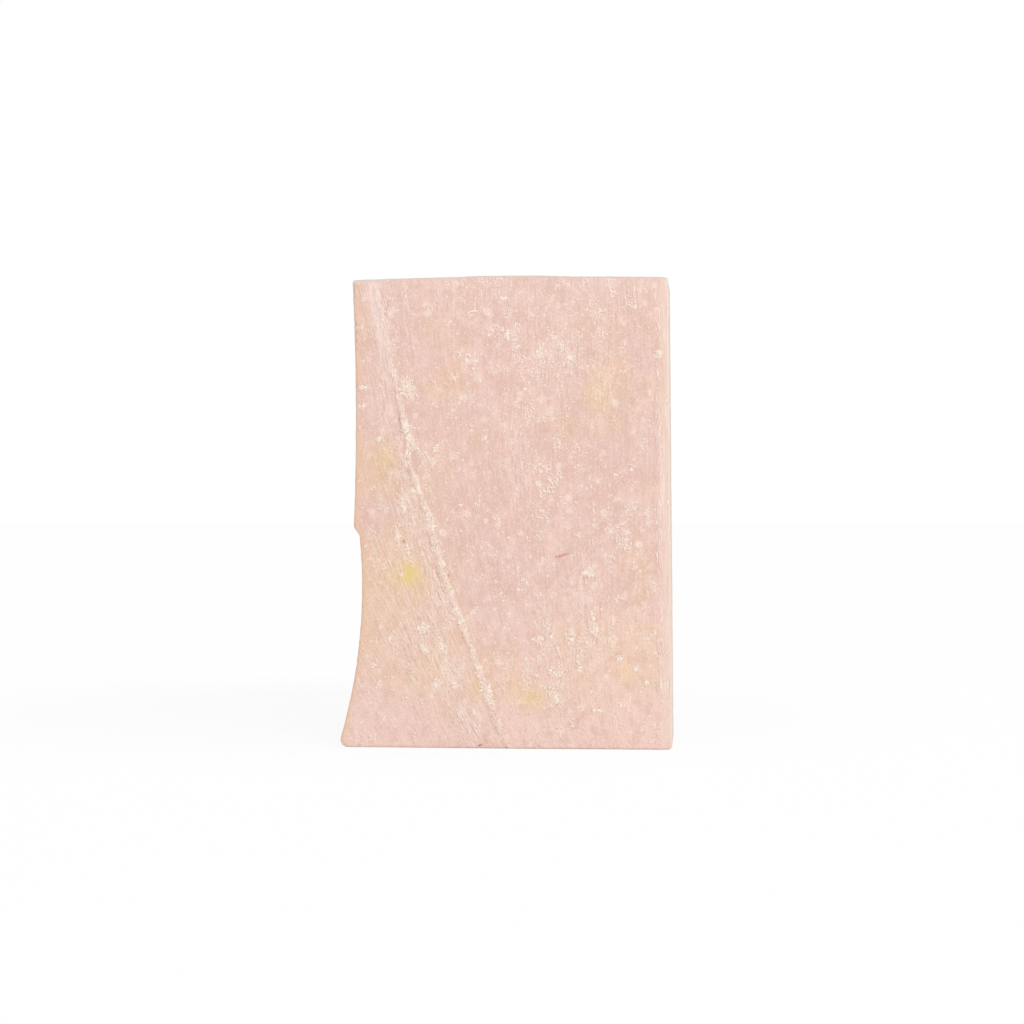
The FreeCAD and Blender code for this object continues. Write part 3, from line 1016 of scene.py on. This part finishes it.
# Shavings that stand out in the drifts: (x, z, lean, length, bow, half thickness).
single_shavings = [
    (-5.8, 78.5, 80, 2.2, 0.05, 0.25),
    (-6.1, 77.6, 55, 1.4, 0.3, 0.2),
    (-8.0, 43.8, 78, 1.2, 0.0, 0.24),
    (-8.0, 14.4, 84, 0.9, 0.0, 0.18),
    (5.2, 71.2, 14, 1.9, 0.12, 0.1),
    (6.7, 70.8, -35, 2.0, 0.12, 0.12),
    (5.0, 69.2, 82, 1.5, 0.05, 0.12),
    (7.2, 69.0, -12, 1.2, 0.0, 0.11),
    (0.1, 74.2, 20, 1.6, 0.25, 0.11),
    (0.6, 73.6, -30, 1.2, 0.2, 0.11),
    (1.9, 76.1, 0, 0.9, 0.0, 0.13),
    (2.6, 76.1, -20, 0.9, 0.0, 0.13),
    (3.8, 73.8, 5, 0.9, 0.1, 0.15),
    (7.5, 67.1, 3, 1.6, 0.0, 0.12),
    (15.8, 64.6, 20, 1.0, 0.0, 0.12),
    (13.9, 77.7, 75, 0.9, 0.1, 0.13),
    (7.7, 75.5, 60, 0.9, 0.3, 0.16),
    (11.9, 77.5, 70, 1.2, 0.3, 0.16),
    (16.1, 76.3, 0, 0.7, 0.0, 0.15),
    (20.3, 74.6, 80, 1.4, 0.05, 0.1),
    (22.9, 68.4, 60, 1.2, 0.1, 0.1),
    (19.5, 58.9, 85, 1.6, 0.0, 0.1),
]


def drag_lean(x, z):
    """How far the drag marks lean at a place, in degrees, with the top to the right."""
    step = 0.5
    sideways = drag(x + step, z) - drag(x - step, z)
    upward = drag(x, z + step) - drag(x, z - step)
    return math.degrees(math.atan2(-upward, sideways))


def shaving_spots():
    """Where shavings lie: (x, z, lean, length, bow, half thickness) of each."""
    luck = shaving_luck
    spots = list(single_shavings)

    def strew(x, z, lean, lengths, bow, half_thicknesses):
        length = luck.uniform(*lengths)
        spots.append((x, z, lean, length, luck.normal(0, bow), luck.uniform(*half_thicknesses)))

    for z in luck.uniform(0.8, bar_height - 0.8, 1000):
        strength = float(np.interp(z, burr_heights, burr_strengths))
        broken = rough(np.array(z / 0.9), np.array(burr_x(z) / 2.0), 111)
        if luck.random() < strength * rise(0.3, 0.55, broken):
            x = burr_x(z) + luck.normal(0, 0.8) * float(np.interp(z, burr_heights, burr_half_widths))
            lean = drag_lean(x, z) + luck.normal(0, 12)
            strew(x, z, lean, (0.5, 2.6), 0.08, (0.05, 0.12))
    for x0, z0, half_width, half_height, lean, strength in scuffs:
        for _ in range(int(8 * half_width * half_height * strength)):
            side, along = luck.normal(0, 0.6, 2) * (half_width, half_height)
            x, z = leaned(x0, z0, side, along, lean)
            tilt = drag_lean(x, z) + luck.normal(0, 9)
            strew(x, z, tilt, (0.4, 2.0), 0.06, (0.04, 0.085))
    for x0, z0, half_width, half_height, lean in crumb_groups:
        for _ in range(int(4 + 7 * half_width * half_height)):
            a, b = luck.normal(0, 0.7, 2) * (half_width, half_height)
            strew(x0 + a, z0 + b, luck.uniform(-90, 90), (0.3, 1.1), 0.3, (0.05, 0.1))
    for z in luck.uniform(1, bar_height - 1, 260):
        side = float(np.interp(z, right_line[:, 1], right_line[:, 0]))
        x = side - 1.75 + luck.normal(0, 0.35)
        strew(x, z, luck.normal(0, 10), (0.5, 3.0), 0.05, (0.05, 0.1))
    for _ in range(1100):
        x, z = luck.uniform(-26, 28), luck.uniform(1, 84)
        if 0.2 + 0.7 * strongest(x, z, flake_drifts) > luck.random():
            tilt = drag_lean(x, z) + luck.normal(0, 45)
            strew(x, z, tilt, (0.25, 1.2), 0.3, (0.045, 0.09))
    return spots


def shaving(x, z, lean, length, bow, half_thickness):
    """One shaving's places and how far each stands out, for its painted shade; None where it would hang
    over an edge.
    """
    t = np.linspace(-0.5, 0.5, shaving_steps)
    turn = math.radians(lean)
    side = bow * length * (4 * t * t - 0.5)
    line_x = x + t * length * math.sin(turn) + side * math.cos(turn)
    line_z = z + t * length * math.cos(turn) - side * math.sin(turn)
    depths = []
    for a, b in zip(line_x, line_z):
        hit = crumb_surface.ray_cast(Vector((a, -40, b)), Vector((0, 1, 0)))[0]
        if hit is None or hit.y > cut_front + 1.0:
            return None
        depths.append(hit.y)
    swell = half_thickness * np.sqrt(1 - 3.8 * t * t) * (1 + shaving_luck.normal(0, 0.15, shaving_steps))
    around = 2 * math.pi * np.arange(shaving_sides) / shaving_sides
    places = np.empty((shaving_steps, shaving_sides, 3))
    places[..., 0] = line_x[:, None] + swell[:, None] * np.cos(around) * math.cos(turn)
    places[..., 1] = np.array(depths)[:, None] - swell[:, None] * (0.35 + 0.75 * np.sin(around))
    places[..., 2] = line_z[:, None] - swell[:, None] * np.cos(around) * math.sin(turn)
    places[..., 1] = np.maximum(places[..., 1], bar_low.y + 0.01)
    # How far each place faces out; the material paints shade where this is low
    proud = np.clip(0.35 + 0.75 * np.sin(around), 0, 1) * np.ones((shaving_steps, 1))
    return places.reshape(-1, 3), proud.ravel()


def shaving_mesh():
    number = np.arange(shaving_steps * shaving_sides).reshape(shaving_steps, shaving_sides)
    turned = np.roll(number, -1, 1)
    strip = np.stack([number[:-1], number[1:], turned[1:], turned[:-1]], -1).reshape(-1, 4).tolist()
    strip += [number[0].tolist(), number[-1][::-1].tolist()]
    places, proud, faces = [], [], []
    for spot in shaving_spots():
        made = shaving(*spot)
        if made is None:
            continue
        start = len(places) * shaving_steps * shaving_sides
        places.append(made[0])
        proud.append(made[1])
        faces += [[start + k for k in face] for face in strip]
    return np.concatenate(places), np.concatenate(proud), faces


shaving_places, shaving_proud, shaving_faces = shaving_mesh()
shavings = soap_piece("soap_shavings", shaving_places, shaving_faces)
paint("proud", shaving_proud, shavings)


def shaving_material():
    s = Shader("shaving")
    each = s.noise(s.place(1 / 0.8, 1 / 0.8, 1 / 0.8), 2.0, 0.6)
    colour = s.mix(s.between(each, 0.35, 0.65), grain_pale, crumb_pink)
    white = s.noise(s.place(1 / 1.7, 1 / 1.7, 1 / 1.7), 2.0)
    colour = s.mix(s.between(white, 0.52, 0.68), colour, fleck_white)
    # Painted shade on the sides that face away from the front
    colour = s.mix(s.between(s.painted("proud"), 0.0, 0.75, 0.95, 0.0), colour, crumb_shade)
    return s.dry_skin(colour, 0.5, 0.08)


shavings.data.materials.append(shaving_material())
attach(shavings, "root")

# The ground. White paper, a wide flat sheet reaching far behind the bar so that no edge shows. It keeps
# the bar's soft shadow near the foot and is plain white further out.

ground_reach = 4.0
ground_mesh = bpy.data.meshes.new("ground")
ground_mesh.from_pydata(
    [(-ground_reach, -1.0, 0), (ground_reach, -1.0, 0), (ground_reach, 8.0, 0), (-ground_reach, 8.0, 0)],
    [],
    [(0, 1, 2, 3)],
)
ground = bpy.data.objects.new("ground", ground_mesh)
bpy.context.scene.collection.objects.link(ground)


def ground_material():
    s = Shader("white_paper")
    own = s.add("ShaderNodeTexCoord").outputs["Object"]
    behind_left = s.add("ShaderNodeVectorMath", {0: own}, operation="SUBTRACT")
    behind_left.inputs[1].default_value = (-0.04, 0.07, 0.0)
    away = s.add("ShaderNodeVectorMath", {0: behind_left.outputs[0]}, operation="LENGTH").outputs["Value"]
    fibre = s.noise(s.place(1 / 3, 1 / 3, 1 / 3), 2.0)
    white_pulp = s.mix(fibre, (0.93, 0.93, 0.93, 1), (0.95, 0.95, 0.95, 1))
    paper = s.add("ShaderNodeBsdfDiffuse", {"Color": white_pulp})
    white = s.add("ShaderNodeEmission", values={"Color": (1, 1, 1, 1), "Strength": 1.0})
    path = s.add("ShaderNodeLightPath")
    seen = s.maths("ADD", path.outputs["Is Camera Ray"], path.outputs["Is Glossy Ray"])
    seen = s.maths("ADD", seen, path.outputs["Is Transmission Ray"])
    share = s.times(s.between(away, 0.03, 0.14, 0.82, 0.97), seen)
    mixed = s.add("ShaderNodeMixShader", {0: share, 1: paper.outputs[0], 2: white.outputs[0]})
    s.add("ShaderNodeOutputMaterial", {"Surface": mixed.outputs[0]})
    return s.material


ground_mesh.materials.append(ground_material())

# The light. A big soft box at the camera's right gives the long faint shadow at the left, a weaker one at
# the left fills in, and a wide one overhead keeps the ground white.


def soft_box(name, place, aim, size, watts):
    lamp = bpy.data.lights.new(name, "AREA")
    lamp.shape = "SQUARE"
    lamp.size = size
    lamp.energy = watts
    holder = bpy.data.objects.new(name, lamp)
    holder.location = place
    holder.rotation_euler = (Vector(aim) - Vector(place)).to_track_quat("-Z", "Y").to_euler()
    bpy.context.scene.collection.objects.link(holder)


middle = Vector((0, 0, bar_height / 2)) * MM
soft_box("right_box", (0.42, -0.82, 0.36), middle, 0.35, 2.7)
soft_box("left_box", (-0.6, -0.8, 0.2), middle, 0.8, 0.5)
soft_box("top_box", (0.0, 0.15, 1.3), (0, 0.15, 0), 1.4, 4.6)

world = bpy.data.worlds.new("white_room")
bpy.context.scene.world = world
world.use_nodes = True
sky = world.node_tree
sky.nodes.clear()
room = sky.nodes.new("ShaderNodeBackground")
room.inputs["Color"].default_value = (1, 1, 1, 1)
room.inputs["Strength"].default_value = 0.603
behind = sky.nodes.new("ShaderNodeBackground")
behind.inputs["Color"].default_value = (1, 1, 1, 1)
behind.inputs["Strength"].default_value = 1.0
path = sky.nodes.new("ShaderNodeLightPath")
choose = sky.nodes.new("ShaderNodeMixShader")
result = sky.nodes.new("ShaderNodeOutputWorld")
sky.links.new(path.outputs["Is Camera Ray"], choose.inputs[0])
sky.links.new(room.outputs[0], choose.inputs[1])
sky.links.new(behind.outputs[0], choose.inputs[2])
sky.links.new(choose.outputs[0], result.inputs["Surface"])

# The camera. Level with the bar's middle and almost straight in front, so that only a sliver of the right
# side shows.

camera_data = bpy.data.cameras.new("camera")
camera_data.lens = 88
camera_data.sensor_width = 36
camera_data.clip_start = 0.01
camera = bpy.data.objects.new("camera", camera_data)
camera_turn = math.radians(4.4)
camera_away = 461.4
camera.location = middle + Vector((math.sin(camera_turn), -math.cos(camera_turn), 0)) * camera_away * MM
camera.rotation_euler = (math.pi / 2, 0, camera_turn)
camera_data.shift_x = 2.0 / 1024
camera_data.shift_y = 0.0
bpy.context.scene.collection.objects.link(camera)
bpy.context.scene.camera = camera
bpy.context.scene.view_settings.view_transform = "Standard"
